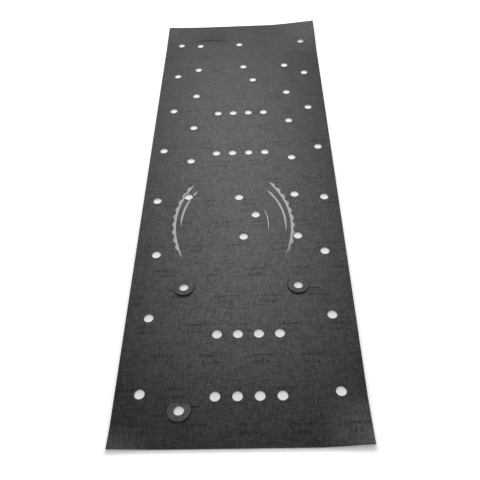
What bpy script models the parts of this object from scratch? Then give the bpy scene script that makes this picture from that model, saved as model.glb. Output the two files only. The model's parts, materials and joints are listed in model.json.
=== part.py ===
"""Practice putting mat: a thin punched sheet with three lift-up flaps and light film arcs.

The mat lies on z = 0 with +Y towards its far end and +X to its right. A foam rubber base sheet
carries a thin woven face sheet. Both are punched together: peg holes, one plain slit, and three
round flaps, each cut free round its front and held at the back by the sheet as a live hinge.
The corners are turned up a little, as they are on a mat that has been rolled.
"""

import math

import bmesh
import bpy

# Overall size, in metres
WIDTH = 0.280
LENGTH = 0.840
BASE_THICKNESS = 0.0020
FACE_THICKNESS = 0.0007
FILM_THICKNESS = 0.0002
GAP = 0.0003  # left between pieces that touch

FACE_BOTTOM = BASE_THICKNESS + GAP
FACE_TOP = FACE_BOTTOM + FACE_THICKNESS
FILM_BOTTOM = FACE_TOP + GAP
PUNCH_MARGIN = 0.010  # how far the punches reach past the sheet, above and below

# Peg holes. Places along the mat are shares of its length, so that the pattern spreads with it.
HOLE_RADIUS = 0.0060
HOLE_SIDES = 16
HOLES_PER_ROW = 4
HOLE_PITCH = 0.025

# Rows of four: how far the row's middle is from the centre line, and its place along the mat
LOWER_ROW_OFFSET = 0.010
ROWS = (
    (0.0, 0.1738 * LENGTH),
    (0.0, 0.0548 * LENGTH),
    (LOWER_ROW_OFFSET, -0.3345 * LENGTH),
    (LOWER_ROW_OFFSET, -0.4298 * LENGTH),
)

# Side columns: the same on both sides and in both halves, with the middle holes further out
SIDE_MARGIN = 0.028  # from the edge to the hole's centre
WIDE_MARGIN = 0.020
SIDE_END_MARGIN = 0.063
SIDE_FIRST = 0.055  # the first hole's distance from the middle of the mat
SIDE_HOLES_PER_HALF = 4

# Inner columns and the loose holes near the centre line
INNER_LEFT = -WIDTH / 2 + 0.064
INNER_RIGHT = WIDTH / 2 - 0.062
INNER_LEFT_PLACES = (0.4208, 0.3268, 0.2333, 0.1310, 0.0351)
INNER_RIGHT_PLACES = (0.3345, 0.2375, 0.1452, 0.0381, -0.0571)
CENTRE_HOLES = (
    (-0.0030, 0.4220),
    (0.0045, 0.3339),
    (0.0210, 0.2845),
    (-0.0020, -0.0613),
    (0.0215, -0.1030),
    (0.0045, -0.1512),
)

# Flaps: each is a disc round its own peg hole, hinged along a chord behind the hole
FLAP_RIM = 0.0075  # width of the disc outside its hole
HINGE_LAND = 0.0025  # material between the hole and the hinge line
FLAP_RADIUS = HOLE_RADIUS + FLAP_RIM
HINGE_SETBACK = HOLE_RADIUS + HINGE_LAND
FLAP_CLEARANCE = 0.0004
FLAP_SIDES = 36
FLAP_LIFT = math.radians(7.0)  # the set that the free edge keeps
TAIL_WIDTH = 0.0008
# name, hole's x and y, the tail's side, its length past the disc, its place against the hole
FLAPS = (
    ("left", -WIDTH / 2 + 0.0685, -0.2518 * LENGTH, -1, 0.0070, -0.0048),
    ("right", WIDTH / 2 - 0.0665, -0.2518 * LENGTH, 1, 0.0130, -0.0048),
    ("front", -WIDTH / 2 + 0.0735, -0.4494 * LENGTH, 1, 0.0100, 0.0042),
)

# The plain slit near the far end
SLIT_MARGIN = 0.0543  # from the left edge to the slit's start
SLIT_LENGTH = 0.068
SLIT_RISE = 0.0012
SLIT_WIDTH = 0.0006
SLIT_START = (-WIDTH / 2 + SLIT_MARGIN, 0.4390 * LENGTH)
SLIT_END = (SLIT_START[0] + SLIT_LENGTH, SLIT_START[1] + SLIT_RISE)

# Toothed film arcs: each bulges towards its own edge, about a centre across the mat
TIP_RADIUS = 0.1435  # to the tips of the teeth
TOOTH_HEIGHT = 0.0026
BAND_WIDTH = 0.0028
TOOTH_COUNT = 61  # on a whole turn
TOOTH_OFFSET = math.radians(-0.6)
POINTS_PER_TOOTH = 6
LEFT_TIP_MARGIN = 0.0452  # from the left edge to the tips
RIGHT_TIP_MARGIN = 0.0650
LEFT_ARCS_PLACE = -0.1202 * LENGTH
RIGHT_ARCS_PLACE = -0.1286 * LENGTH
LEFT_TIPS = -WIDTH / 2 + LEFT_TIP_MARGIN
RIGHT_TIPS = WIDTH / 2 - RIGHT_TIP_MARGIN
LEFT_TOOTHED_CENTRE = (LEFT_TIPS + TIP_RADIUS, LEFT_ARCS_PLACE)
RIGHT_TOOTHED_CENTRE = (RIGHT_TIPS - TIP_RADIUS, RIGHT_ARCS_PLACE)
LEFT_TOOTHED_SPAN = (math.radians(34.5), math.radians(-29.5))
RIGHT_TOOTHED_SPAN = (math.radians(39.0), math.radians(-28.0))

# Plain film arcs, each set in from its neighbour
INNER_RADIUS = 0.110
INNER_WIDTH = 0.0029
INNER_INSET = 0.0123  # from the teeth's tips to the inner arc's middle
LEFT_INNER_CENTRE = (LEFT_TIPS + INNER_INSET + INNER_RADIUS, LEFT_ARCS_PLACE)
RIGHT_INNER_CENTRE = (RIGHT_TIPS - INNER_INSET - INNER_RADIUS, RIGHT_ARCS_PLACE)
LEFT_INNER_SPAN = (math.radians(36.5), math.radians(-7.0))
RIGHT_INNER_SPAN = (math.radians(41.0), math.radians(-9.0))

SHORT_RADIUS = 0.085
SHORT_WIDTH = 0.0015
SHORT_INSET = 0.0237  # from the right inner arc's middle to the short arc's middle
SHORT_CENTRE = (RIGHT_TIPS - INNER_INSET - SHORT_INSET - SHORT_RADIUS, RIGHT_ARCS_PLACE)
SHORT_SPAN = (math.radians(21.5), math.radians(-8.5))
PLAIN_ARC_STEPS = 24

# Two holes touch the toothed arcs, so their places follow the arcs
HOLE_TOOTH = 4  # the left one sits behind this tooth
LAND_BESIDE_HOLE = 0.0028  # film left between that hole and the tooth's tip
RIGHT_HOLE_ANGLE = math.radians(-7.6)
TOOTH_BITE = 0.0017  # how far the right one cuts into the teeth

# Turned-up corners: side across, side along, height, reach across, reach along
CORNER_CURLS = (
    (1, 1, 0.0065, 0.085, 0.110),
    (-1, 1, 0.0020, 0.070, 0.080),
    (1, -1, 0.0070, 0.055, 0.060),
    (-1, -1, 0.0030, 0.060, 0.028),
)
CURL_POWER = 1.3
CURL_STEPS = 5

# Materials: colour, roughness
BASE_RUBBER = ((0.020, 0.020, 0.021), 0.85)
FACE_WEAVE = ((0.075, 0.075, 0.077), 0.70)
LIGHT_FILM = ((0.360, 0.360, 0.365), 0.45)


# ---------------------------------------------------------------- outlines

def circle(centre, radius, sides):
    """Corners of a regular polygon, anticlockwise."""
    corners = []
    for step in range(sides):
        angle = 2 * math.pi * (step + 0.5) / sides
        corners.append((centre[0] + radius * math.cos(angle), centre[1] + radius * math.sin(angle)))
    return corners


def flap_outline(centre, radius, setback):
    """A disc cut off by a straight chord at setback behind its centre."""
    half_open = math.acos(setback / radius)
    corners = []
    for step in range(FLAP_SIDES + 1):
        sweep = 2 * (math.pi - half_open) * step / FLAP_SIDES
        angle = math.pi / 2 + half_open + sweep
        corners.append((centre[0] + radius * math.cos(angle), centre[1] + radius * math.sin(angle)))
    return corners


def strip(start, end, width):
    """A straight slit of the given width between two points."""
    run_x = end[0] - start[0]
    run_y = end[1] - start[1]
    length = math.hypot(run_x, run_y)
    side_x = -run_y / length * width / 2
    side_y = run_x / length * width / 2
    return [
        (start[0] - side_x, start[1] - side_y),
        (end[0] - side_x, end[1] - side_y),
        (end[0] + side_x, end[1] + side_y),
        (start[0] + side_x, start[1] + side_y),
    ]


def polar(centre, side, radius, angle):
    """The point at an angle above the middle of an arc that bulges to one side."""
    return (centre[0] + side * radius * math.cos(angle), centre[1] + radius * math.sin(angle))


def ease(value):
    """0 to 1 with level ends, and held outside."""
    held = min(max(value, 0.0), 1.0)
    return held * held * (3 - 2 * held)


def taper(fraction, head, tail, least):
    """How much of its full width an arc has, along its length from top to bottom."""
    shape = ease(fraction / head) * ease((1 - fraction) / tail)
    return least + (1 - least) * shape


def tooth(angle):
    """A row of rounded teeth: 1 at each tip and 0 at each root."""
    turns = (angle - TOOTH_OFFSET) * TOOTH_COUNT
    return (0.5 + 0.5 * math.cos(turns)) ** 0.8


def toothed_arc(centre, side, span):
    """A band with teeth on its outer edge, thinning out at both ends."""
    top, bottom = span
    steps = round((top - bottom) * TOOTH_COUNT / (2 * math.pi) * POINTS_PER_TOOTH)
    root = TIP_RADIUS - TOOTH_HEIGHT
    outer = []
    inner = []
    for step in range(steps + 1):
        fraction = step / steps
        angle = top + (bottom - top) * fraction
        size = taper(fraction, 0.10, 0.22, 0.20)
        outer_radius = root - BAND_WIDTH / 2 + size * (BAND_WIDTH / 2 + TOOTH_HEIGHT * tooth(angle))
        inner_radius = root - BAND_WIDTH / 2 - size * BAND_WIDTH / 2
        outer.append(polar(centre, side, outer_radius, angle))
        if step % 2 == 0 or step == steps:
            inner.append(polar(centre, side, inner_radius, angle))
    return outer + inner[::-1]


def plain_arc(centre, side, radius, width, span, head=0.10, tail=0.35):
    """A plain curved band, thinning out at its ends."""
    top, bottom = span
    outer = []
    inner = []
    for step in range(PLAIN_ARC_STEPS + 1):
        fraction = step / PLAIN_ARC_STEPS
        angle = top + (bottom - top) * fraction
        half = taper(fraction, head, tail, 0.20) * width / 2
        outer.append(polar(centre, side, radius + half, angle))
        inner.append(polar(centre, side, radius - half, angle))
    return outer + inner[::-1]


# ---------------------------------------------------------------- where the holes are

def left_touching_hole():
    """The hole behind a tooth of the left toothed arc."""
    angle = TOOTH_OFFSET + HOLE_TOOTH * 2 * math.pi / TOOTH_COUNT
    radius = TIP_RADIUS - LAND_BESIDE_HOLE - GAP - HOLE_RADIUS
    return polar(LEFT_TOOTHED_CENTRE, -1, radius, angle)


def right_touching_hole():
    """The hole that bites into the teeth of the right toothed arc."""
    return polar(RIGHT_TOOTHED_CENTRE, 1, TIP_RADIUS + HOLE_RADIUS - TOOTH_BITE, RIGHT_HOLE_ANGLE)


def side_holes():
    """The side columns, evenly spaced in each half of the mat."""
    pitch = (LENGTH / 2 - SIDE_END_MARGIN - SIDE_FIRST) / (SIDE_HOLES_PER_HALF - 1)
    centres = []
    for number in range(SIDE_HOLES_PER_HALF):
        across = WIDTH / 2 - (WIDE_MARGIN if number == 0 else SIDE_MARGIN)
        along = SIDE_FIRST + number * pitch
        centres += [(-across, along), (across, along), (-across, -along), (across, -along)]
    return centres


def sheet_holes():
    """Centres of every peg hole in the sheet itself; the flaps carry three more."""
    centres = []
    for middle, place in ROWS:
        for number in range(HOLES_PER_ROW):
            centres.append((middle + (number - (HOLES_PER_ROW - 1) / 2) * HOLE_PITCH, place))
    centres += side_holes()
    centres += [(INNER_LEFT, place * LENGTH) for place in INNER_LEFT_PLACES]
    centres += [(INNER_RIGHT, place * LENGTH) for place in INNER_RIGHT_PLACES]
    centres += [(across, along * LENGTH) for across, along in CENTRE_HOLES]
    centres.append(left_touching_hole())
    centres.append(right_touching_hole())
    return centres


# ---------------------------------------------------------------- solids

def new_object(name, mesh, parent=None):
    """Puts a mesh into the scene under a name."""
    made = bpy.data.objects.new(name, mesh)
    bpy.context.collection.objects.link(made)
    made.parent = parent
    return made


def prism(name, outlines, bottom, top, parent=None):
    """Closed upright solids, one for each outline, in one object."""
    shape = bmesh.new()
    for outline in outlines:
        low = [shape.verts.new((x, y, bottom)) for x, y in outline]
        high = [shape.verts.new((x, y, top)) for x, y in outline]
        shape.faces.new(low)
        shape.faces.new(high)
        for index in range(len(outline)):
            after = (index + 1) % len(outline)
            shape.faces.new((low[index], low[after], high[after], high[index]))
    bmesh.ops.recalc_face_normals(shape, faces=shape.faces)
    mesh = bpy.data.meshes.new(name)
    shape.to_mesh(mesh)
    shape.free()
    return new_object(name, mesh, parent)


def corner_lift(x, y):
    """Height that the turned-up corners give the sheet at a point."""
    height = 0.0
    for side_x, side_y, rise, reach_x, reach_y in CORNER_CURLS:
        across = 1 - (WIDTH / 2 - side_x * x) / reach_x
        along = 1 - (LENGTH / 2 - side_y * y) / reach_y
        if across > 0 and along > 0:
            height += rise * (across * along) ** CURL_POWER
    return height


def grid_lines(half_size, reaches):
    """Lines from one edge to the other, closer together where the corners turn up."""
    low_reach, high_reach = reaches
    low = [-half_size + low_reach * step / CURL_STEPS for step in range(CURL_STEPS + 1)]
    high = [half_size - high_reach * step / CURL_STEPS for step in range(CURL_STEPS, -1, -1)]
    return low + high


def furthest_reach(axis, side):
    """The longest reach of the curls on one side of the mat."""
    return max(curl[3 + axis] for curl in CORNER_CURLS if curl[axis] == side)


def sheet(name, bottom, top):
    """A flat plate with turned-up corners, not yet punched."""
    across = grid_lines(WIDTH / 2, (furthest_reach(0, -1), furthest_reach(0, 1)))
    along = grid_lines(LENGTH / 2, (furthest_reach(1, -1), furthest_reach(1, 1)))
    shape = bmesh.new()
    layers = []
    for height in (bottom, top):
        layer = []
        for x in across:
            layer.append([shape.verts.new((x, y, height + corner_lift(x, y))) for y in along])
        layers.append(layer)
    for i in range(len(across) - 1):
        for j in range(len(along) - 1):
            for layer in layers:
                shape.faces.new((layer[i][j], layer[i + 1][j], layer[i + 1][j + 1], layer[i][j + 1]))
    low, high = layers
    for i in range(len(across) - 1):
        for j in (0, len(along) - 1):
            shape.faces.new((low[i][j], low[i + 1][j], high[i + 1][j], high[i][j]))
    for j in range(len(along) - 1):
        for i in (0, len(across) - 1):
            shape.faces.new((low[i][j], low[i][j + 1], high[i][j + 1], high[i][j]))
    bmesh.ops.recalc_face_normals(shape, faces=shape.faces)
    curled = [face for face in shape.faces if max(v.co.z for v in face.verts) > top + 1e-6]
    bmesh.ops.triangulate(shape, faces=curled)
    mesh = bpy.data.meshes.new(name)
    shape.to_mesh(mesh)
    shape.free()
    return new_object(name, mesh)


def as_cutter(target):
    """Marks an object as a punch that isn't part of the mat."""
    target.hide_render = True
    target.display_type = "WIRE"
    return target


def cut(target, cutter):
    """Takes a punch's shape out of an object."""
    modifier = target.modifiers.new("cut_by_" + cutter.name, "BOOLEAN")
    modifier.operation = "DIFFERENCE"
    modifier.solver = "EXACT"
    modifier.object = cutter


def finish(target, look):
    """Gives an object its own material and smooth round walls."""
    colour, roughness = look
    material = bpy.data.materials.new(target.name + "_material")
    material.use_nodes = True
    shader = material.node_tree.nodes["Principled BSDF"]
    shader.inputs["Base Color"].default_value = (*colour, 1.0)
    shader.inputs["Roughness"].default_value = roughness
    shader.inputs["Metallic"].default_value = 0.0
    material.diffuse_color = (*colour, 1.0)
    target.data.materials.append(material)
    target.data.shade_smooth()
    target.data.set_sharp_from_angle(angle=math.radians(30))


# ---------------------------------------------------------------- the mat's pieces

def make_punches():
    """The three punches that go through both sheets."""
    low = -PUNCH_MARGIN
    high = FACE_TOP + PUNCH_MARGIN
    holes = [circle(centre, HOLE_RADIUS, HOLE_SIDES) for centre in sheet_holes()]
    openings = []
    tails = []
    for _, x, y, side, past_disc, offset in FLAPS:
        openings.append(
            flap_outline((x, y), FLAP_RADIUS + FLAP_CLEARANCE, HINGE_SETBACK + FLAP_CLEARANCE)
        )
        inside = x + side * 0.7 * FLAP_RADIUS
        outside = x + side * (FLAP_RADIUS + past_disc)
        tails.append(strip((inside, y + offset), (outside, y + offset), TAIL_WIDTH))
    holes.append(strip(SLIT_START, SLIT_END, SLIT_WIDTH))
    return (
        as_cutter(prism("hole_punch", holes, low, high)),
        as_cutter(prism("flap_punch", openings, low, high)),
        as_cutter(prism("tail_punch", tails, low, high)),
    )


def make_sheets():
    """The rubber base and the woven face, punched together."""
    punches = make_punches()
    base = sheet("base_sheet", 0.0, BASE_THICKNESS)
    face = sheet("face_sheet", FACE_BOTTOM, FACE_TOP)
    for layer in (base, face):
        for punch in punches:
            cut(layer, punch)
    finish(base, BASE_RUBBER)
    finish(face, FACE_WEAVE)


def make_flap(name, x, y):
    """Both layers of one flap, turned about the hinge line at the top of the sheet."""
    hinge = bpy.data.objects.new(name + "_hinge", None)
    bpy.context.collection.objects.link(hinge)
    hinge.location = (x, y + HINGE_SETBACK, FACE_TOP)
    hinge.rotation_euler = (-FLAP_LIFT, 0.0, 0.0)
    centre = (0.0, -HINGE_SETBACK)
    outline = flap_outline(centre, FLAP_RADIUS, HINGE_SETBACK)
    hole = circle(centre, HOLE_RADIUS, HOLE_SIDES)
    punch = as_cutter(prism(name + "_hole_punch", [hole], -PUNCH_MARGIN, PUNCH_MARGIN, hinge))
    layers = (
        ("base", -FACE_TOP, BASE_THICKNESS - FACE_TOP, BASE_RUBBER),
        ("face", FACE_BOTTOM - FACE_TOP, 0.0, FACE_WEAVE),
    )
    for kind, low, high, look in layers:
        layer = prism(name + "_flap_" + kind, [outline], low, high, hinge)
        cut(layer, punch)
        finish(layer, look)


def split_span(span, centre, hole):
    """The two stretches of an inner arc that a hole leaves, with a gap at each side of it."""
    outer_edge = INNER_RADIUS + INNER_WIDTH / 2
    distance = math.hypot(hole[0] - centre[0], hole[1] - centre[1])
    angle = math.asin((hole[1] - centre[1]) / distance)
    offset = max(distance - outer_edge, 0.0)
    half_chord = math.sqrt(max((HOLE_RADIUS + GAP) ** 2 - offset ** 2, GAP ** 2))
    half_angle = half_chord / INNER_RADIUS
    return (span[0], angle + half_angle), (angle - half_angle, span[1])


def make_film_arcs():
    """The light arcs on the face."""
    near_holes = [left_touching_hole(), right_touching_hole()]
    keep_clear = [circle(centre, HOLE_RADIUS + GAP, HOLE_SIDES) for centre in near_holes]
    punch = as_cutter(prism("film_punch", keep_clear, FACE_TOP, FILM_BOTTOM + PUNCH_MARGIN))
    upper, lower = split_span(LEFT_INNER_SPAN, LEFT_INNER_CENTRE, near_holes[0])
    outlines = {
        "left_toothed_arc": toothed_arc(LEFT_TOOTHED_CENTRE, -1, LEFT_TOOTHED_SPAN),
        "right_toothed_arc": toothed_arc(RIGHT_TOOTHED_CENTRE, 1, RIGHT_TOOTHED_SPAN),
        "left_inner_arc_upper": plain_arc(
            LEFT_INNER_CENTRE, -1, INNER_RADIUS, INNER_WIDTH, upper, head=0.4, tail=0.01
        ),
        "left_inner_arc_lower": plain_arc(
            LEFT_INNER_CENTRE, -1, INNER_RADIUS, INNER_WIDTH, lower, head=0.01, tail=0.45
        ),
        "right_inner_arc": plain_arc(
            RIGHT_INNER_CENTRE, 1, INNER_RADIUS, INNER_WIDTH, RIGHT_INNER_SPAN
        ),
        "short_arc": plain_arc(SHORT_CENTRE, 1, SHORT_RADIUS, SHORT_WIDTH, SHORT_SPAN),
    }
    for name, outline in outlines.items():
        arc = prism(name, [outline], FILM_BOTTOM, FILM_BOTTOM + FILM_THICKNESS)
        if "toothed" in name:
            cut(arc, punch)
        finish(arc, LIGHT_FILM)


def clear_scene():
    """Starts from an empty scene."""
    for old in list(bpy.data.objects):
        bpy.data.objects.remove(old, do_unlink=True)


clear_scene()
make_sheets()
for flap_name, flap_x, flap_y, *_ in FLAPS:
    make_flap(flap_name, flap_x, flap_y)
make_film_arcs()
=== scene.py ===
"""Practice putting mat: its looks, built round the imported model.

The mat is a dark woven face on a foam rubber backing, punched with round holes. Three round
flaps are cut free round the front and bend at the back. Light film arcs lie on the face.
"""

import json
import math

import bmesh
import bpy
import numpy as np
from mathutils import Matrix, Vector
from mathutils.geometry import delaunay_2d_cdt
from mathutils.kdtree import KDTree


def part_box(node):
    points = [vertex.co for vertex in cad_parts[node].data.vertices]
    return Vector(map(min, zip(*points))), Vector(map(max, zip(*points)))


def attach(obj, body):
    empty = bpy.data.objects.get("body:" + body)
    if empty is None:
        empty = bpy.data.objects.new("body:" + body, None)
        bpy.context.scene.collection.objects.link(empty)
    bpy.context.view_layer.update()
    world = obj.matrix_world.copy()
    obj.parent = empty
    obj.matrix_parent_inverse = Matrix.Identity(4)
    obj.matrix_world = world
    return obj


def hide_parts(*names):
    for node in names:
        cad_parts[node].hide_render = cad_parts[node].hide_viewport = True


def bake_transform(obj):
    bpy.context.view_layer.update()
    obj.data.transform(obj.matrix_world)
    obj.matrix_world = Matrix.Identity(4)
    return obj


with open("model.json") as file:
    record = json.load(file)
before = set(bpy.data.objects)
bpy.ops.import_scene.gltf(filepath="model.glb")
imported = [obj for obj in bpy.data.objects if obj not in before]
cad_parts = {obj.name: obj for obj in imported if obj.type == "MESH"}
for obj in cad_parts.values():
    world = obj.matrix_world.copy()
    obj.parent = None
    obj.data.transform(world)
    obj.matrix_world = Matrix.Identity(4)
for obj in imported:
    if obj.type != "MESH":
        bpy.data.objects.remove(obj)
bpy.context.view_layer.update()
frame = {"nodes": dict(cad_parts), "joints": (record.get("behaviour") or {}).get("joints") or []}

MM = 0.001

# ---------------------------------------------------------------- sizes

# From the frame
sheet_low, sheet_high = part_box("base_sheet")
WIDTH = sheet_high.x - sheet_low.x
LENGTH = sheet_high.y - sheet_low.y
HINGES = {joint["child"]: Vector(joint["pos_m"]) for joint in frame["joints"]}
FACE_TOP = HINGES["left_flap"].z
flap_low, flap_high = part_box("left_flap_face")
FLAP_RADIUS = (flap_high.x - flap_low.x) / 2

# The two layers
SEAM_HEIGHT = 2.2 * MM  # the underside of the face
LAYER_OVERLAP = 0.05 * MM  # how far the rubber reaches up into the face
RUBBER_PROUD = 0.08 * MM  # how far the rubber stands out past the face at a cut
RIM_ROUND = 0.35 * MM
BACKING_ROUND = 0.05 * MM
RIM_ANGLES = (0, 30, 60, 90)  # degrees round the rounded rim of a cut
RIM_BAND = 0.3 * MM  # flat band behind the rounding
GRID_STEP = 7.0 * MM
FLAP_GRID_STEP = 3.0 * MM
ROW_SHARE = 0.866  # the distance between a grid's rows, as a share of its step
GRID_CLEAR = 2.2 * MM
EDGE_STEP = 5 * MM
SLIT_STEP = 4 * MM
HOLE_SIDES = 40
MITRE_LIMIT = 0.5  # keeps an offset corner within twice the distance
SHARP_ANGLE = math.radians(50)
SAME_SPOT = 1e-6  # points this close are one, in metres
SMALLEST_NORMAL = 1e-6
DELAUNAY_TOLERANCE = 1e-8

# How the CAD's cuts are told apart
UPPER_NORMAL = 0.9  # least upward part of the normal of a face on the upper side
WALL_NORMAL = 0.5  # and the most of one on a wall
HOLE_LIMIT = 14 * MM  # a round hole is smaller than this both ways
SLIT_LIMIT = 4 * MM  # and the slit is shorter than this along the mat
TAIL_END_DEPTH = 0.1 * MM  # the points at the end of a tail slit lie within this

# Flaps, as in the CAD
HINGE_SETBACK = 8.5 * MM
FLAP_LIFT = math.radians(7.0)
FLAP_ARC_STEPS = 64
CUT_FRONT = 0.31 * MM  # clearance round the flap at its front and at its hinge
CUT_HINGE = 0.10 * MM
ROOT_DEPTH = 6.0 * MM  # how far the flap's own piece reaches back into the sheet
ROOT_STEPS = 3
ROOT_STEPS_ACROSS = 6
BEND_BEHIND = 0.3 * MM
BEND_AHEAD = 3.5 * MM
TAIL_FILLET = 1.2 * MM
TAIL_CLEAR = 0.2 * MM  # from the tail to the next point of the cut behind it
TAIL_SHARE = 0.25  # how far round the cut its radius is taken for the tail
FILLET_STEPS = 6
TAIL_END_STEPS = 4

# How the sheet lies: side across, side along, height, reach across, reach along
CORNER_CURLS = (
    (1, 1, 6.5 * MM, 85 * MM, 110 * MM),
    (-1, 1, 2.0 * MM, 70 * MM, 80 * MM),
    (1, -1, 7.0 * MM, 55 * MM, 60 * MM),
    (-1, -1, 3.0 * MM, 60 * MM, 28 * MM),
)
CURL_POWER = 1.3
WAVE_HEIGHT = 0.12 * MM
WAVES = ((9.0, 7.3, 0.6), (-13.0, 21.0, 0.0))  # radians a metre across and along, and at the middle
SLIT_LIP = 0.9 * MM  # how far the slit's back lip stands up
SLIT_LIP_REACH = 14 * MM

FILM_SUNK = 0.05 * MM
FILM_PROUD = 0.12 * MM
FILM_ROUND = 0.03 * MM
FILM_SUBSTEPS = 4
# A side stays straight where the shortest of it and its neighbours is under this share of the longest
FILM_CORNER = 0.25

# ---------------------------------------------------------------- camera, light and floor

CAMERA_PLACE = (0.0269, -0.6613, 0.6124)
CAMERA_TURN = math.radians(2.96)
CAMERA_DOWN = math.radians(49.09)
CAMERA_ROLL = math.radians(-3.70)
SENSOR_MM = 36.0
LENS_MM = 44.76
NEAREST_SEEN = 0.01
FARTHEST_SEEN = 50

STRIP_HEIGHT = 1.6
STRIP_TURN = math.radians(2.6)
STRIP_RADIANCE = 3.7
SHEEN_NEAR = -0.340
SHEEN_FAR = 0.305
SHEEN_MIDDLE = -0.006
SHEEN_HALF_WIDTH = 0.120
SURROUNDING = 0.12
FRONT_PLACE = (0.0, -1.2, 2.6)
FRONT_POWER = 30
FRONT_SIZE = 1.2
FLOOR_GLOW = 0.62
# Painted shade: under the mat the floor glows less, least at its near end, so what shows through the holes
# is darker
NEAR_PAINTED_SHADE_GLOW = 0.08
FAR_PAINTED_SHADE_GLOW = 0.36
# Painted shadow: round the mat's edge the glow dims into that shade
PAINTED_SHADOW_EDGE = (-2 * MM, 9 * MM)  # how far past the mat's edge the glow starts to rise, and is full
FLOOR_STEPS = 96
# Radius and height of each ring of the floor
FLOOR_PROFILE = ((0.0, 0.0), (4.0, 0.0), (7.0, 0.0), (9.0, 0.2), (9.8, 1.0), (10.0, 2.6))


def add_camera():
    """The view from above the mat's near end."""
    data = bpy.data.cameras.new("camera")
    data.sensor_width = SENSOR_MM
    data.lens = LENS_MM
    data.clip_start = NEAREST_SEEN
    data.clip_end = FARTHEST_SEEN
    camera = bpy.data.objects.new("camera", data)
    turn = Matrix.Rotation(CAMERA_TURN, 4, "Z")
    tilt = Matrix.Rotation(math.pi / 2 - CAMERA_DOWN, 4, "X")
    roll = Matrix.Rotation(CAMERA_ROLL, 4, "Z")
    camera.matrix_world = Matrix.Translation(CAMERA_PLACE) @ turn @ tilt @ roll
    bpy.context.scene.collection.objects.link(camera)
    bpy.context.scene.camera = camera


def add_strip_softbox():
    """A long softbox above and behind the mat, facing straight down.

    Its mirror image in the mat, seen from the camera, covers the mat from SHEEN_NEAR to SHEEN_FAR
    and SHEEN_HALF_WIDTH each way, so the middle of the mat has a soft sheen and its edges are darker.
    It is turned a little, by STRIP_TURN.
    """
    camera = Vector(CAMERA_PLACE)
    spread = (STRIP_HEIGHT + camera.z) / camera.z
    near = camera.y + (SHEEN_NEAR - camera.y) * spread
    far = camera.y + (SHEEN_FAR - camera.y) * spread
    data = bpy.data.lights.new("strip_softbox", "AREA")
    data.shape = "RECTANGLE"
    data.size = 2 * SHEEN_HALF_WIDTH * spread
    data.size_y = far - near
    data.energy = STRIP_RADIANCE * math.pi * data.size * data.size_y
    light = bpy.data.objects.new("strip_softbox", data)
    light.location = (camera.x + (SHEEN_MIDDLE - camera.x) * spread, (near + far) / 2, STRIP_HEIGHT)
    light.rotation_euler = (0.0, 0.0, STRIP_TURN)
    bpy.context.scene.collection.objects.link(light)


def add_front_softbox():
    """A large softbox high behind the camera, which lights the floor and the bottoms of the holes."""
    data = bpy.data.lights.new("front_softbox", "AREA")
    data.size = FRONT_SIZE
    data.energy = FRONT_POWER
    light = bpy.data.objects.new("front_softbox", data)
    light.location = FRONT_PLACE
    light.rotation_euler = (-Vector(FRONT_PLACE)).to_track_quat("-Z", "Y").to_euler()
    bpy.context.scene.collection.objects.link(light)


def add_light():
    """The two softboxes and a white surrounding."""
    add_strip_softbox()
    add_front_softbox()
    world = bpy.data.worlds.new("surrounding")
    world.use_nodes = True
    background = world.node_tree.nodes["Background"]
    background.inputs["Color"].default_value = (1.0, 1.0, 1.0, 1.0)
    background.inputs["Strength"].default_value = SURROUNDING
    bpy.context.scene.world = world
    bpy.context.scene.view_settings.view_transform = "Standard"


# ---------------------------------------------------------------- material helpers

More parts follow.
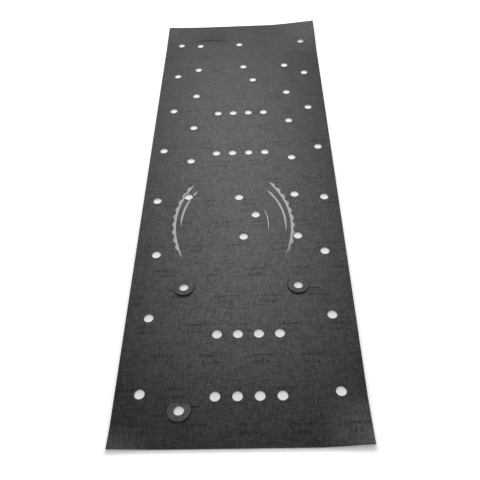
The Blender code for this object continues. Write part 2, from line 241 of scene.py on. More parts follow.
class Nodes:
    """Short names for making and joining shader nodes."""

    def __init__(self, name):
        self.material = bpy.data.materials.new(name)
        self.material.use_nodes = True
        self.tree = self.material.node_tree
        self.shader = self.tree.nodes["Principled BSDF"]

    def add(self, kind, **settings):
        """A new node with its settings."""
        node = self.tree.nodes.new(kind)
        for key, value in settings.items():
            setattr(node, key, value)
        return node

    def plug(self, value, socket):
        """Joins a node's output to a socket, or sets the socket's number."""
        if isinstance(value, bpy.types.NodeSocket):
            self.tree.links.new(value, socket)
        else:
            socket.default_value = value

    def math(self, operation, a, b=0.0):
        """The result of a sum on one or two numbers."""
        node = self.add("ShaderNodeMath", operation=operation)
        self.plug(a, node.inputs[0])
        self.plug(b, node.inputs[1])
        return node.outputs[0]

    def step(self, value, low, high):
        """0 at low and past it, 1 at high and past it, and smooth between."""
        node = self.add("ShaderNodeMapRange", interpolation_type="SMOOTHSTEP")
        self.plug(value, node.inputs["Value"])
        node.inputs["From Min"].default_value = low
        node.inputs["From Max"].default_value = high
        return node.outputs["Result"]

    def spread(self, value, low, high):
        """Maps 0 to 1 onto low to high."""
        node = self.add("ShaderNodeMapRange")
        self.plug(value, node.inputs["Value"])
        node.inputs["To Min"].default_value = low
        node.inputs["To Max"].default_value = high
        return node.outputs["Result"]

    def attribute(self, name, output):
        """A value kept at the points of the mesh."""
        return self.add("ShaderNodeAttribute", attribute_name=name).outputs[output]

    def noise(self, place, size, detail=2.0):
        """Noise whose lumps are about as large as size, in metres."""
        node = self.add("ShaderNodeTexNoise")
        self.plug(place, node.inputs["Vector"])
        node.inputs["Scale"].default_value = 1 / size
        node.inputs["Detail"].default_value = detail
        return node.outputs["Fac"]

    def scaled(self, place, factors):
        """The place stretched by a factor along each axis."""
        node = self.add("ShaderNodeVectorMath", operation="MULTIPLY")
        self.plug(place, node.inputs[0])
        node.inputs[1].default_value = factors
        return node.outputs["Vector"]

    def mix(self, factor, a, b):
        """Colour a where the factor is 0 and colour b where it is 1."""
        node = self.add("ShaderNodeMix", data_type="RGBA")
        self.plug(factor, node.inputs["Factor"])
        self.plug(a, node.inputs["A"])
        self.plug(b, node.inputs["B"])
        return node.outputs["Result"]

    def grey(self, value):
        """A colour of equal parts from a number."""
        node = self.add("ShaderNodeCombineColor")
        for part in ("Red", "Green", "Blue"):
            self.plug(value, node.inputs[part])
        return node.outputs["Color"]

    def bump(self, height, distance, strength, under=None):
        """The normal of a surface raised by a height, on top of another normal if there is one."""
        node = self.add("ShaderNodeBump")
        self.plug(height, node.inputs["Height"])
        node.inputs["Distance"].default_value = distance
        node.inputs["Strength"].default_value = strength
        if under is not None:
            self.plug(under, node.inputs["Normal"])
        return node.outputs["Normal"]

    def finish(self, **sockets):
        """Fills the shader's sockets, named with _ for a space, and gives the material."""
        for name, value in sockets.items():
            self.plug(value, self.shader.inputs[name.replace("_", " ")])
        return self.material


# ---------------------------------------------------------------- materials

# A size is that of a noise's lumps. A pair is what a pattern's 0 and 1 become, unless it is an edge,
# which is where a pattern turns from 0 to 1. A bump is its depth and its strength.
YARN_PITCH = 1.1 * MM
WOBBLE_SIZE = 5 * MM
WOBBLE = 2.5  # radians of the yarns' waves
YARN_TONES = (0.82, 1.12)
YARN_BUMP = (0.06 * MM, 0.6)
FUZZ_SIZE = 0.7 * MM
FUZZ_BUMP = (0.05 * MM, 0.5)

MARK_PITCH_X = 58 * MM
MARK_PITCH_Y = 42 * MM
MARK_SHIFT = 0.37  # of the pitch across, from one row of marks to the next
MARK_BLOCKS = 11  # blocks in a mark's pitch across
# Left, right, low and high side of each row of blocks in a mark, as shares of the pitches
MARK_ROWS = ((0.20, 0.72, 0.56, 0.68), (0.28, 0.66, 0.34, 0.46))
MARK_SOFT_X = 0.05
MARK_SOFT_Y = 0.04
BLOCK_EDGE = (0.42, 0.32)
PATCH_SIZE = 12 * MM
PATCH_EDGE = (0.28, 0.50)
MARK_TONES = (1.0, 0.6)
MARK_TINTS = (1.0, 0.66)
MARK_DULLNESS = 0.05

SLUB_SIZE = 1.9 * MM
SLUB_STRETCHES = ((0.20, 1.0, 1.0), (1.0, 0.20, 1.0), (0.8, 0.8, 1.0))
SLUB_EDGE = (0.41, 0.59)
SLUB_TONES = (0.55, 1.45)
SLUB_TINTS = (0.64, 0.86)
SLUB_ROUGHNESS = (0.315, 0.285)
TINT_COLOUR = (("Red", 1.0), ("Green", 0.99), ("Blue", 1.05))

MOTTLE_SIZE = 60 * MM
MOTTLE_TONES = (0.0125, 0.018)
# The lighter rim along every cut: frayed wear, and partly a painted highlight on the rounded rim
FRAY_AND_HIGHLIGHT_SIZE = 1.5 * MM
FRAY_AND_HIGHLIGHT_SHARES = (0.0, 0.5)
FRAY_AND_HIGHLIGHT_COLOUR = (0.05, 0.05, 0.05, 1.0)
WEAVE_SPECULAR = 0.5
WEAVE_SHEEN = 0.01
WEAVE_SHEEN_ROUGHNESS = 0.5

CELL_SIZE = 0.6 * MM
CELL_TONES = (0.7, 1.3)
CELL_BUMP = (0.12 * MM, 0.7)
RUBBER_SIZE = 8 * MM
RUBBER_TONES = (0.012, 0.022)
# Painted light: pale tones on the walls of the round holes and the mat's edge, which stand in for the
# bright floor's light on them
PAINTED_WALL_LIGHT_SIZE = 1.5 * MM
PAINTED_WALL_LIGHT_TONES = (0.40, 0.60)
RUBBER_DULL_SIZE = 2 * MM
RUBBER_ROUGHNESS = (0.75, 0.92)

SPECKLE_SIZE = 1.6 * MM
SPECKLES = (-0.25, 0.25)
FILM_FADE_EDGE = (0.10, 0.85)
FILM_SIZE = 6 * MM
FILM_TONES = (0.37, 0.46)
FILM_GRAIN_SIZE = 1.2 * MM
FILM_GRAIN_TONES = (0.88, 1.12)

FLOOR_MOTTLE_SIZE = 0.4
FLOOR_TONES = (0.90, 0.92)
FLOOR_ROUGHNESS = 0.9


def yarn_height(nodes, place):
    """A plain weave of raised yarns that pass over and under each other."""
    split = nodes.add("ShaderNodeSeparateXYZ")
    nodes.plug(place, split.inputs[0])
    wobble = nodes.math("MULTIPLY", nodes.noise(place, WOBBLE_SIZE), WOBBLE)
    turn = math.pi / YARN_PITCH
    across = nodes.math("ADD", nodes.math("MULTIPLY", split.outputs["X"], turn), wobble)
    along = nodes.math("ADD", nodes.math("MULTIPLY", split.outputs["Y"], turn), wobble)
    over = nodes.math("MULTIPLY", nodes.math("SINE", across), nodes.math("SINE", along))
    return nodes.math("ABSOLUTE", over)


def faint_marks(nodes, place):
    """Two short rows of plain blocks, repeated over the face and pressed faintly into it."""
    split = nodes.add("ShaderNodeSeparateXYZ")
    nodes.plug(place, split.inputs[0])
    row = nodes.math("DIVIDE", split.outputs["Y"], MARK_PITCH_Y)
    shift = nodes.math("MULTIPLY", nodes.math("FLOOR", row), MARK_SHIFT)
    column = nodes.math("ADD", nodes.math("DIVIDE", split.outputs["X"], MARK_PITCH_X), shift)
    u = nodes.math("FRACT", column)
    v = nodes.math("FRACT", row)
    bars = None
    for left, right, low, high in MARK_ROWS:
        left_side = nodes.step(u, left, left + MARK_SOFT_X)
        right_side = nodes.step(u, right, right - MARK_SOFT_X)
        low_side = nodes.step(v, low, low + MARK_SOFT_Y)
        high_side = nodes.step(v, high, high - MARK_SOFT_Y)
        across = nodes.math("MULTIPLY", left_side, right_side)
        along = nodes.math("MULTIPLY", low_side, high_side)
        bar = nodes.math("MULTIPLY", across, along)
        bars = bar if bars is None else nodes.math("MAXIMUM", bars, bar)
    block = nodes.math("FRACT", nodes.math("MULTIPLY", column, MARK_BLOCKS))
    between = nodes.math("ABSOLUTE", nodes.math("SUBTRACT", block, 0.5))
    blocks = nodes.math("MULTIPLY", bars, nodes.step(between, *BLOCK_EDGE))
    patchy = nodes.step(nodes.noise(place, PATCH_SIZE, detail=1.0), *PATCH_EDGE)
    return nodes.math("MULTIPLY", blocks, patchy)


def slubs(nodes, place):
    """Uneven yarns: streaks that run both ways across the weave, and fine grain."""
    streaks = None
    for stretch in SLUB_STRETCHES:
        streak = nodes.noise(nodes.scaled(place, stretch), SLUB_SIZE)
        streaks = streak if streaks is None else nodes.math("ADD", streaks, streak)
    return nodes.step(nodes.math("DIVIDE", streaks, len(SLUB_STRETCHES)), *SLUB_EDGE)


def weave_tone(nodes, place):
    """The face's colour as one number: mottled charcoal, darker in the faint marks."""
    tone = nodes.spread(nodes.noise(place, MOTTLE_SIZE), *MOTTLE_TONES)
    tone = nodes.math("MULTIPLY", tone, nodes.spread(slubs(nodes, place), *SLUB_TONES))
    tone = nodes.math("MULTIPLY", tone, nodes.spread(yarn_height(nodes, place), *YARN_TONES))
    return nodes.math("MULTIPLY", tone, nodes.spread(faint_marks(nodes, place), *MARK_TONES))


def weave_roughness(nodes, place):
    """Glossier on the raised slubs and duller in the faint marks."""
    dull = nodes.math("MULTIPLY", faint_marks(nodes, place), MARK_DULLNESS)
    return nodes.math("ADD", nodes.spread(slubs(nodes, place), *SLUB_ROUGHNESS), dull)


def weave_tint(nodes, place):
    """How much of the sheen each yarn gives back, with a trace of blue, and less in the faint marks."""
    tint = nodes.spread(slubs(nodes, place), *SLUB_TINTS)
    tint = nodes.math("MULTIPLY", tint, nodes.spread(faint_marks(nodes, place), *MARK_TINTS))
    node = nodes.add("ShaderNodeCombineColor")
    for part, share in TINT_COLOUR:
        nodes.plug(nodes.math("MULTIPLY", tint, share), node.inputs[part])
    return node.outputs["Color"]


def weave_bump(nodes, place):
    """The yarns and the fine fuzz on them."""
    yarns = nodes.bump(yarn_height(nodes, place), *YARN_BUMP)
    return nodes.bump(nodes.noise(place, FUZZ_SIZE, detail=3.0), *FUZZ_BUMP, under=yarns)


def weave_material():
    """Dark woven face, a little lighter along its cuts, where they have frayed it and as a painted rim
    highlight.
    """
    nodes = Nodes("charcoal_weave")
    place = nodes.attribute("rest", "Vector")
    rim = nodes.attribute("rim", "Fac")
    # Lighter along every cut: frayed wear, and partly a painted rim highlight
    fray_and_highlight = nodes.math("MULTIPLY", rim, nodes.spread(nodes.noise(place, FRAY_AND_HIGHLIGHT_SIZE), *FRAY_AND_HIGHLIGHT_SHARES))
    colour = nodes.mix(fray_and_highlight, nodes.grey(weave_tone(nodes, place)), FRAY_AND_HIGHLIGHT_COLOUR)
    rough = weave_roughness(nodes, place)
    tint = weave_tint(nodes, place)
    normal = weave_bump(nodes, place)
    nodes.shader.inputs["Specular IOR Level"].default_value = WEAVE_SPECULAR
    nodes.shader.inputs["Sheen Weight"].default_value = WEAVE_SHEEN
    nodes.shader.inputs["Sheen Roughness"].default_value = WEAVE_SHEEN_ROUGHNESS
    return nodes.finish(Base_Color=colour, Roughness=rough, Specular_Tint=tint, Normal=normal)


def rubber_material():
    """Black foam rubber with fine cells, and painted light: pale on the walls of the round holes and the
    mat's edge.
    """
    nodes = Nodes("foam_rubber")
    place = nodes.attribute("rest", "Vector")
    cells = nodes.add("ShaderNodeTexVoronoi")
    nodes.plug(place, cells.inputs["Vector"])
    cells.inputs["Scale"].default_value = 1 / CELL_SIZE
    tone = nodes.spread(nodes.noise(place, RUBBER_SIZE, detail=3.0), *RUBBER_TONES)
    tone = nodes.math("MULTIPLY", tone, nodes.spread(cells.outputs["Distance"], *CELL_TONES))
    # Painted light: the pale wall tone stands in for the bright floor's light on these walls
    punched = nodes.spread(nodes.noise(place, PAINTED_WALL_LIGHT_SIZE), *PAINTED_WALL_LIGHT_TONES)
    colour = nodes.mix(nodes.attribute("pale", "Fac"), nodes.grey(tone), nodes.grey(punched))
    rough = nodes.spread(nodes.noise(place, RUBBER_DULL_SIZE), *RUBBER_ROUGHNESS)
    normal = nodes.bump(cells.outputs["Distance"], *CELL_BUMP)
    return nodes.finish(Base_Color=colour, Roughness=rough, Normal=normal)


def film_material():
    """Light grey film whose colour fades into the weave's towards the ends of each arc."""
    nodes = Nodes("light_film")
    place = nodes.attribute("rest", "Vector")
    fade = nodes.attribute("fade", "Fac")
    speckle = nodes.spread(nodes.noise(place, SPECKLE_SIZE), *SPECKLES)
    whole = nodes.step(nodes.math("ADD", fade, speckle), *FILM_FADE_EDGE)
    tone = nodes.spread(nodes.noise(place, FILM_SIZE, detail=3.0), *FILM_TONES)
    grain = nodes.spread(nodes.noise(place, FILM_GRAIN_SIZE), *FILM_GRAIN_TONES)
    film = nodes.grey(nodes.math("MULTIPLY", tone, grain))
    colour = nodes.mix(whole, nodes.grey(weave_tone(nodes, place)), film)
    normal = weave_bump(nodes, place)
    rough = weave_roughness(nodes, place)
    return nodes.finish(Base_Color=colour, Roughness=rough, Normal=normal)


def floor_material():
    """Plain pale floor that glows, with painted shade: less under the mat and least at its near end, and a
    painted shadow where the glow dims round the mat's edge.
    """
    nodes = Nodes("pale_floor")
    place = nodes.add("ShaderNodeTexCoord").outputs["Object"]
    split = nodes.add("ShaderNodeSeparateXYZ")
    nodes.plug(place, split.inputs[0])
    beyond_x = nodes.math("SUBTRACT", nodes.math("ABSOLUTE", split.outputs["X"]), WIDTH / 2)
    beyond_y = nodes.math("SUBTRACT", nodes.math("ABSOLUTE", split.outputs["Y"]), LENGTH / 2)
    # Painted shadow: the glow dims towards the mat's edge and under it
    clear_of_painted_shadow = nodes.step(nodes.math("MAXIMUM", beyond_x, beyond_y), *PAINTED_SHADOW_EDGE)
    towards_far = nodes.step(split.outputs["Y"], -LENGTH / 2, LENGTH / 2)
    # Painted shade under the mat, darker at its near end
    painted_shade_under_mat = nodes.spread(towards_far, NEAR_PAINTED_SHADE_GLOW, FAR_PAINTED_SHADE_GLOW)
    tone = nodes.spread(nodes.noise(place, FLOOR_MOTTLE_SIZE), *FLOOR_TONES)
    nodes.shader.inputs["Emission Color"].default_value = (1.0, 1.0, 1.0, 1.0)
    glow = nodes.math("MAXIMUM", painted_shade_under_mat, nodes.math("MULTIPLY", clear_of_painted_shadow, FLOOR_GLOW))
    colour = nodes.grey(tone)
    return nodes.finish(Base_Color=colour, Roughness=FLOOR_ROUGHNESS, Emission_Strength=glow)


def add_floor():
    """A wide floor, rising far away into a backdrop all round."""
    shape = bmesh.new()
    rings = []
    for radius, height in FLOOR_PROFILE:
        if radius == 0.0:
            rings.append([shape.verts.new((0.0, 0.0, 0.0))])
            continue
        ring = []
        for number in range(FLOOR_STEPS):
            angle = 2 * math.pi * number / FLOOR_STEPS
            ring.append(shape.verts.new((radius * math.cos(angle), radius * math.sin(angle), height)))
        rings.append(ring)
    for number in range(FLOOR_STEPS):
        after = (number + 1) % FLOOR_STEPS
        shape.faces.new((rings[0][0], rings[1][number], rings[1][after]))
        for inner, outer in zip(rings[1:], rings[2:]):
            shape.faces.new((inner[number], outer[number], outer[after], inner[after]))
    mesh = bpy.data.meshes.new("floor")
    shape.to_mesh(mesh)
    shape.free()
    mesh.shade_smooth()
    mesh.materials.append(floor_material())
    floor = bpy.data.objects.new("floor", mesh)
    bpy.context.scene.collection.objects.link(floor)


# ---------------------------------------------------------------- outlines from the CAD

def rim_loops(node):
    """The outlines of a CAD node's upper side, as ordered lists of points in plan."""
    shape = bmesh.new()
    shape.from_mesh(frame["nodes"][node].data)
    bmesh.ops.remove_doubles(shape, verts=shape.verts, dist=SAME_SPOT)
    shape.normal_update()
    after = {}
    for edge in shape.edges:
        slopes = sorted(face.normal.z for face in edge.link_faces)
        if len(slopes) == 2 and slopes[1] > UPPER_NORMAL and abs(slopes[0]) < WALL_NORMAL:
            a, b = edge.verts
            after.setdefault(a, []).append(b)
            after.setdefault(b, []).append(a)
    loops = []
    left = set(after)
    while left:
        first = min(left, key=lambda vert: vert.index)
        loop = [first]
        left.discard(first)
        while True:
            onward = [vert for vert in after[loop[-1]] if vert in left]
            if not onward:
                break
            loop.append(onward[0])
            left.discard(onward[0])
        loops.append([Vector((vert.co.x, vert.co.y)) for vert in loop])
    shape.free()
    return loops


def middle_of(loop):
    """The middle of a loop's box."""
    xs = [point.x for point in loop]
    ys = [point.y for point in loop]
    return Vector(((min(xs) + max(xs)) / 2, (min(ys) + max(ys)) / 2))


def size_of(loop):
    """The width and length of a loop's box."""
    xs = [point.x for point in loop]
    ys = [point.y for point in loop]
    return max(xs) - min(xs), max(ys) - min(ys)


def signed_area(loop):
    """The area within a loop, negative where the loop is clockwise."""
    area = 0.0
    for a, b in zip(loop, loop[1:] + loop[:1]):
        area += (a.x * b.y - b.x * a.y) / 2
    return area


def turned(loop, clockwise):
    """The loop in the asked direction."""
    return loop[::-1] if (signed_area(loop) < 0) != clockwise else loop


def circle(centre, radius, sides=HOLE_SIDES):
    """A hole's outline, clockwise."""
    points = []
    for number in range(sides):
        angle = -2 * math.pi * number / sides
        points.append(Vector((centre.x + radius * math.cos(angle), centre.y + radius * math.sin(angle))))
    return points


def flap_arc(middle, radius_at):
    """The cut round a flap, anticlockwise from the hinge's left end to its right end."""
    points = []
    for number in range(FLAP_ARC_STEPS + 1):
        share = number / FLAP_ARC_STEPS
        radius = radius_at(share)
        half_open = math.acos(HINGE_SETBACK / radius)
        angle = math.pi / 2 + half_open + share * 2 * (math.pi - half_open)
        points.append(middle + Vector((radius * math.cos(angle), radius * math.sin(angle))))
    return points


def flap_edge(share):
    """The flap's own radius, the same all round."""
    return FLAP_RADIUS


def opening_edge(share):
    """The radius of the opening round the flap, widest at the front."""
    return FLAP_RADIUS + CUT_HINGE + (CUT_FRONT - CUT_HINGE) * math.sin(math.pi * share)


def root_points(hinge):
    """The hidden joint between a flap's piece and the sheet, from right to left."""
    half = math.sqrt(opening_edge(0.0) ** 2 - HINGE_SETBACK ** 2)
    points = []
    for number in range(ROOT_STEPS + 1):
        points.append(Vector((hinge.x + half, hinge.y + ROOT_DEPTH * number / ROOT_STEPS)))
    for number in range(1, ROOT_STEPS_ACROSS):
        across = half - 2 * half * number / ROOT_STEPS_ACROSS
        points.append(Vector((hinge.x + across, hinge.y + ROOT_DEPTH)))
    for number in range(ROOT_STEPS, -1, -1):
        points.append(Vector((hinge.x - half, hinge.y + ROOT_DEPTH * number / ROOT_STEPS)))
    return points


def with_tail(arc, middle, side, tail_end, tail_y, width):
    """The arc with its straight tail slit let in on one side, filleted towards the front."""
    low = tail_y - width / 2
    high = tail_y + width / 2

    def crossing(height):
        """Where the cut round the flap crosses this place along the mat, on the tail's side."""
        radius = opening_edge(TAIL_SHARE)
        reach = math.sqrt(radius ** 2 - (height - middle.y) ** 2)
        return Vector((middle.x + side * reach, height))

    def beyond(point):
        """Whether a point is on the tail's side and behind the tail's front edge."""
        return side * (point.x - middle.x) > 0 and point.y > low

    front_corner = crossing(low)
    start = front_corner + Vector((side * TAIL_FILLET, 0.0))
    kept_front = [p for p in arc if not beyond(p) and (p - front_corner).length > TAIL_FILLET]
    kept_back = [p for p in arc if side * (p.x - middle.x) > 0 and p.y > high + TAIL_CLEAR]
    if side > 0:
        last = kept_front[-1]
    else:
        last = kept_front[0]
    fillet = []
    for number in range(FILLET_STEPS + 1):
        t = number / FILLET_STEPS
        fillet.append(last * (1 - t) ** 2 + front_corner * 2 * t * (1 - t) + start * t ** 2)
    end_middle = tail_end - side * width / 2
    slit = [Vector((end_middle, low))]
    for number in range(1, TAIL_END_STEPS):
        angle = -math.pi / 2 + math.pi * number / TAIL_END_STEPS
        across = side * width / 2 * math.cos(angle)
        slit.append(Vector((end_middle + across, tail_y + width / 2 * math.sin(angle))))
    slit.append(Vector((end_middle, high)))
    slit.append(crossing(high))
    tail = fillet[1:] + slit
    if side > 0:
        return kept_front + tail + kept_back
    return kept_back + tail[::-1] + kept_front


class Layout:
    """Where the CAD sheet's holes, slit and flap openings are."""

    def __init__(self):
        loops = rim_loops("face_sheet")
        loops.sort(key=lambda loop: -size_of(loop)[1])
        self.holes = []
        self.slit = None
        self.openings = {}
        for loop in loops[1:]:
            width, length = size_of(loop)
            if max(width, length) < HOLE_LIMIT:
                self.holes.append(middle_of(loop))
                self.hole_radius = (loop[0] - middle_of(loop)).length
            elif length < SLIT_LIMIT:
                self.slit = loop
                left = min(loop, key=lambda point: point.x)
                right = max(loop, key=lambda point: point.x)
                self.slit_ends = (left, right)
            else:
                body = min(HINGES, key=lambda name: (HINGES[name].xy - middle_of(loop)).length)
                self.openings[body] = loop

    def tail(self, body):
        """The side, end, place and width of a flap's tail slit."""
        loop = self.openings[body]
        hinge = HINGES[body]
        xs = [p.x for p in loop]
        side = 1 if max(xs) - hinge.x > hinge.x - min(xs) else -1
        end = max(xs) if side > 0 else min(xs)
        ys = [p.y for p in loop if abs(p.x - end) < TAIL_END_DEPTH]
        return side, end, (min(ys) + max(ys)) / 2, max(ys) - min(ys)


layout = Layout()

# ---------------------------------------------------------------- plates

def offset(loop, distance):
    """The loop moved to its left, which is into the material."""
    moved = []
    for before, point, after in zip(loop[-1:] + loop[:-1], loop, loop[1:] + loop[:1]):
        first = (point - before).normalized()
        second = (after - point).normalized()
        normal = Vector((-first.y - second.y, first.x + second.x))
        if normal.length < SMALLEST_NORMAL:
            normal = Vector((-first.y, first.x))
        normal.normalize()
        reach = distance / max(normal.dot(Vector((-first.y, first.x))), MITRE_LIMIT)
        moved.append(point + normal * reach)
    return moved


def inside(points, loop):
    """Which of the points lie within a loop."""
    held = np.zeros(len(points), bool)
    xs = points[:, 0]
    ys = points[:, 1]
    for a, b in zip(loop, loop[1:] + loop[:1]):
        if a.y == b.y:
            continue
        crosses = (a.y > ys) != (b.y > ys)
        held ^= crosses & (xs < (b.x - a.x) * (ys - a.y) / (b.y - a.y) + a.x)
    return held


def grid_points(outer, loops, step):
    """Points of a staggered grid that keep clear of every loop."""
    spots = []
    for loop in loops:
        for a, b in zip(loop, loop[1:] + loop[:1]):
            pieces = max(1, int((b - a).length / GRID_CLEAR))
            spots += [a.lerp(b, number / pieces) for number in range(pieces)]
    near = KDTree(len(spots))
    for number, spot in enumerate(spots):
        near.insert((spot.x, spot.y, 0.0), number)
    near.balance()
    low = middle_of(outer) - Vector(size_of(outer)) / 2
    width, length = size_of(outer)
    rows = int(length / (step * ROW_SHARE)) + 1
    columns = int(width / step) + 2
    points = []
    for row in range(rows + 1):
        for column in range(columns):
            x = low.x + (column + (row % 2) / 2) * step
            y = low.y + row * step * ROW_SHARE
            if near.find((x, y, 0.0))[2] > GRID_CLEAR:
                points.append((x, y))
    points = np.array(points).reshape(-1, 2)
    return points[inside(points, outer)]


def slit_lip(x, y):
    """How far the sheet behind the slit stands up."""
    start, end = layout.slit_ends
    share = (x - start.x) / (end.x - start.x)
    behind = y - start.lerp(end, share).y
    if behind < 0 or not 0 < share < 1:
        return 0.0
    return SLIT_LIP * math.sin(math.pi * share) * math.exp(-((behind / SLIT_LIP_REACH) ** 2))


def lay(x, y):
    """How far the sheet's underside is off the floor: turned-up corners and a slight wave."""
    height = 0.0
    for side_x, side_y, rise, reach_x, reach_y in CORNER_CURLS:
        across = 1 - (WIDTH / 2 - side_x * x) / reach_x
        along = 1 - (LENGTH / 2 - side_y * y) / reach_y
        if across > 0 and along > 0:
            height += rise * (across * along) ** CURL_POWER
    height += slit_lip(x, y)
    wave = sum(math.sin(across * x + along * y + start) for across, along, start in WAVES)
    return height + WAVE_HEIGHT * (1 + wave / 2)


def spot_key(point):
    """A place in plan, rounded so that the same spot is found again."""
    return round(point.x / SAME_SPOT), round(point.y / SAME_SPOT)


def rim_rings(rim_round, rim_band):
    """How far behind a cut each ring of points lies, and how far below the top."""
    rings = []
    for degrees in RIM_ANGLES:
        angle = math.radians(degrees)
        rings.append((rim_round * (1 - math.cos(angle)), rim_round * (1 - math.sin(angle))))
    if rim_band:
        rings.append((rim_round + rim_band, 0.0))
    return rings


def loop_points(loops, rings, seam, pale, rim_round):
    """The rings of points behind every loop of a plate.

    Gives the points in plan, each one's drop below the top, its share of the lighter frayed rim with
    painted highlight, and its paleness, which is painted light, the edges that join them, and where the
    points on each wall start and how many they are.
    """
    hidden = {spot_key(point) for point in seam}
    plan = []
    values = []
    edges = []
    walls = []
    for loop_number, loop in enumerate(loops):
        cuts = [0.0 if spot_key(point) in hidden else 1.0 for point in loop]
        count = len(loop)
        walls.append((len(plan), count))
        for ring, (distance, drop) in enumerate(rings):
            start = len(plan)
            # Lighter frayed rim, partly a painted highlight, fading over the rounding
            fray_and_highlight = max(0.0, 1 - distance / rim_round)
            # Pale painted light on the walls of the loops listed in pale
            paleness = 1.0 if ring == 0 and loop_number in pale else 0.0
            for point, cut in zip(offset(loop, distance), cuts):
                plan.append(point)
                values.append((drop * cut, fray_and_highlight * cut, paleness))
            edges += [(start + i, start + (i + 1) % count) for i in range(count)]
    return plan, values, edges, walls


def write_values(mesh, name, kind, field, values):
    """Keeps a value at each point of a mesh."""
    attribute = mesh.attributes.new(name, kind, "POINT")
    attribute.data.foreach_set(field, np.array(values, np.float32).ravel())


def remove_loose(mesh):
    """Removes the points that no face uses."""
    shape = bmesh.new()
    shape.from_mesh(mesh)
    loose = [vert for vert in shape.verts if not vert.link_faces]
    bmesh.ops.delete(shape, geom=loose, context="VERTS")
    shape.to_mesh(mesh)
    shape.free()


def plate(
    name,
    outer,
    holes,
    low,
    high,
    shape_point,
    seam=(),
    pale=(),
    rim_round=RIM_ROUND,
    rim_band=RIM_BAND,
    grid=GRID_STEP,
):
    """A closed plate with rounded upper rims at its cuts.

    outer is anticlockwise and holes are clockwise. shape_point moves a flat point to where it lies.
    seam holds the points of hidden joints, where the rim stays square. pale holds the numbers of
    the loops whose walls are pale with painted light, 0 for outer.
    """
    loops = [outer] + holes
    plan, values, edges, walls = loop_points(loops, rim_rings(rim_round, rim_band), seam, pale, rim_round)
    for x, y in grid_points(outer, loops, grid):
        plan.append(Vector((x, y)))
        values.append((0.0, 0.0, 0.0))
    found, _, triangles, origins, _, _ = delaunay_2d_cdt(plan, edges, [], 0, DELAUNAY_TOLERANCE, True)
    flat = np.array([(point.x, point.y) for point in found])
    middles = flat[np.array(triangles)].mean(axis=1)
    keep = inside(middles, outer)
    for loop in holes:
        keep &= ~inside(middles, loop)
    kept = [triangle for triangle, ok in zip(triangles, keep) if ok]
    count = len(found)
    where = {}
    value_of = np.zeros((count, 3))
    for new, olds in enumerate(origins):
        for old in olds:
            where[old] = new
            value_of[new] = values[old]
    drop_of, rim_of, pale_of = value_of.T
    rest = [(x, y, high - drop) for (x, y), drop in zip(flat, drop_of)]
    rest += [(x, y, low) for x, y in flat]
    faces = [tuple(triangle) for triangle in kept]
    faces += [(c + count, b + count, a + count) for a, b, c in kept]
    for start, length in walls:
        for number in range(length):
            a = where[start + number]
            b = where[start + (number + 1) % length]
            faces.append((a + count, b + count, b, a))
    mesh = bpy.data.meshes.new(name)
    mesh.from_pydata([tuple(shape_point(Vector(point))) for point in rest], [], faces)
    write_values(mesh, "rest", "FLOAT_VECTOR", "vector", rest)
    write_values(mesh, "rim", "FLOAT", "value", np.tile(rim_of, 2))
    write_values(mesh, "pale", "FLOAT", "value", np.tile(pale_of, 2))
    remove_loose(mesh)
    mesh.shade_smooth()
    mesh.set_sharp_from_angle(angle=SHARP_ANGLE)
    piece = bpy.data.objects.new(name, mesh)
    bpy.context.scene.collection.objects.link(piece)
    return piece


def laid(point):
    """A flat point where the sheet lies."""
    return Vector((point.x, point.y, point.z + lay(point.x, point.y)))


def bent_at(hinge):
    """Lays a point of a flap's piece and turns it up about the hinge line."""

    def bend(point):
        """The place of one flat point of the flap."""
        reach = (hinge.y + BEND_BEHIND - point.y) / (BEND_BEHIND + BEND_AHEAD)
        reach = min(max(reach, 0.0), 1.0)
        angle = FLAP_LIFT * reach * reach * (3 - 2 * reach)
        along = point.y - hinge.y
        up = point.z - hinge.z
        y = hinge.y + along * math.cos(angle) + up * math.sin(angle)
        z = hinge.z - along * math.sin(angle) + up * math.cos(angle)
        return Vector((point.x, y, z + lay(point.x, point.y)))

    return bend


# ---------------------------------------------------------------- the mat

def opening_outline(body):
    """The sheet's opening round a flap, with its tail and the hidden joint behind it."""
    hinge = HINGES[body]
    middle = hinge.xy - Vector((0.0, HINGE_SETBACK))
    side, end, tail_y, width = layout.tail(body)
    arc = flap_arc(middle, opening_edge)
    return with_tail(arc, middle, side, end, tail_y, width)[1:-1] + root_points(hinge)


def slit_outline():
    """The plain slit, with fine steps along it and as wide as in the CAD."""
    loop = turned(layout.slit, clockwise=True)
    fine = []
    for a, b in zip(loop, loop[1:] + loop[:1]):
        pieces = max(1, round((b - a).length / SLIT_STEP))
        fine += [a.lerp(b, number / pieces) for number in range(pieces)]
    return fine


def sheet_outline():
    """The mat's edge, anticlockwise, with points close enough to follow the curls."""
    corners = [(-1, -1), (1, -1), (1, 1), (-1, 1)]
    points = []
    for (x0, y0), (x1, y1) in zip(corners, corners[1:] + corners[:1]):
        a = Vector((x0 * WIDTH / 2, y0 * LENGTH / 2))
        b = Vector((x1 * WIDTH / 2, y1 * LENGTH / 2))
        pieces = round((b - a).length / EDGE_STEP)
        points += [a.lerp(b, number / pieces) for number in range(pieces)]
    return points


def two_layers(face_name, face_node, backing_name, backing_node, weave, rubber):
    """The face and the backing of a part.

    For each: its name, the CAD node it replaces, its lower and upper side, how far it stands out at
    a cut, the rounding of its rim, its material and its slot.
    """
    backing_top = SEAM_HEIGHT + LAYER_OVERLAP
    return (
        (face_name, face_node, SEAM_HEIGHT, FACE_TOP, 0.0, RIM_ROUND, weave, "face_weave"),
        (backing_name, backing_node, 0.0, backing_top, RUBBER_PROUD, BACKING_ROUND, rubber, "base_rubber"),
    )


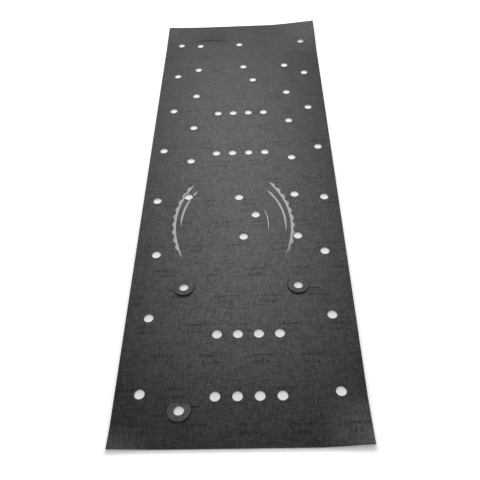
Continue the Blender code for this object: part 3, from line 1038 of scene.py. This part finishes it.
def make_sheet(weave, rubber):
    """The mat's two layers, which replace the CAD sheets."""
    layers = two_layers("mat_face", "face_sheet", "mat_backing", "base_sheet", weave, rubber)
    made = []
    for name, node, low, high, proud, rim_round, material, slot in layers:
        seam = []
        holes = [circle(centre, layout.hole_radius - proud) for centre in layout.holes]
        holes.append(slit_outline())
        for body, hinge in HINGES.items():
            holes.append(turned(opening_outline(body), clockwise=True))
            seam += root_points(hinge)
        # Painted light: the walls of the round holes and the mat's edge are pale; the slit's and the
        # flaps' cuts stay dark
        pale = range(len(layout.holes) + 1)
        piece = plate(name, sheet_outline(), holes, low, high, laid, seam, pale, rim_round)
        piece.data.materials.append(material)
        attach(piece, "mat")
        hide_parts(node)
        made.append(piece)
    return made


def make_flap(body, weave, rubber):
    """A flap's two layers, each in one piece with the strip behind it, shaped bent up at the hinge."""
    hinge = HINGES[body]
    middle = hinge.xy - Vector((0.0, HINGE_SETBACK))
    seam = root_points(hinge)
    outline = flap_arc(middle, flap_edge) + seam
    names = (body + "_weave", body + "_face", body + "_backing", body + "_base")
    layers = two_layers(*names, weave, rubber)
    for name, node, low, high, proud, rim_round, material, slot in layers:
        hole = circle(middle, layout.hole_radius - proud)
        piece = plate(
            name,
            outline,
            [hole],
            low,
            high,
            bent_at(hinge),
            seam,
            # The flap's hole wall is pale with painted light
            pale=(1,),
            rim_round=rim_round,
            grid=FLAP_GRID_STEP,
        )
        piece.data.materials.append(material)
        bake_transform(piece)
        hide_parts(node)


def smoothed(loop):
    """The CAD outline drawn finer by a curve through its points."""
    fine = []
    count = len(loop)
    for number in range(count):
        p0, p1, p2, p3 = (loop[(number + shift) % count] for shift in (-1, 0, 1, 2))
        steps = [(p1 - p0).length, (p2 - p1).length, (p3 - p2).length]
        straight = min(steps) < FILM_CORNER * max(steps)
        for part in range(FILM_SUBSTEPS):
            t = part / FILM_SUBSTEPS
            if straight:
                fine.append(p1.lerp(p2, t))
                continue
            a = p1 * 2
            b = (p2 - p0) * t
            c = (p0 * 2 - p1 * 5 + p2 * 4 - p3) * t ** 2
            d = (p1 * 3 - p0 - p2 * 3 + p3) * t ** 3
            fine.append((a + b + c + d) / 2)
    return fine


# For each arc, as shares of it from its far end: from where it is whole, and from where it fades again
FILM_FADES = {
    "left_toothed_arc": (0.05, 0.82),
    "right_toothed_arc": (0.05, 0.66),
    "left_inner_arc_upper": (0.90, 1.0),
    "left_inner_arc_lower": (0.0, 0.62),
    "right_inner_arc": (0.14, 0.82),
    "short_arc": (0.22, 0.92),
}


def make_film(node, material):
    """One thin film arc, sunk a little into the face, which replaces its CAD solid."""
    outline = smoothed(turned(rim_loops(node)[0], clockwise=False))
    piece = plate(
        node + "_film",
        outline,
        [],
        FACE_TOP - FILM_SUNK,
        FACE_TOP + FILM_PROUD,
        laid,
        rim_round=FILM_ROUND,
        rim_band=0.0,
    )
    low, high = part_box(node)
    whole_from, fades_from = FILM_FADES[node]
    rest = np.zeros(len(piece.data.vertices) * 3, np.float32)
    piece.data.attributes["rest"].data.foreach_get("vector", rest)
    share = (high.y - rest.reshape(-1, 3)[:, 1]) / (high.y - low.y)
    fade = np.ones(len(share))
    if whole_from > 0:
        fade *= np.clip(share / whole_from, 0, 1)
    if fades_from < 1:
        fade *= np.clip((1 - share) / (1 - fades_from), 0, 1)
    write_values(piece.data, "fade", "FLOAT", "value", fade)
    piece.data.materials.append(material)
    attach(piece, "mat")
    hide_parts(node)


add_camera()
add_light()
add_floor()
weave_look = weave_material()
rubber_look = rubber_material()
film_look = film_material()
face, backing = make_sheet(weave_look, rubber_look)
for flap_body in HINGES:
    make_flap(flap_body, weave_look, rubber_look)
for film_node in FILM_FADES:
    make_film(film_node, film_look)
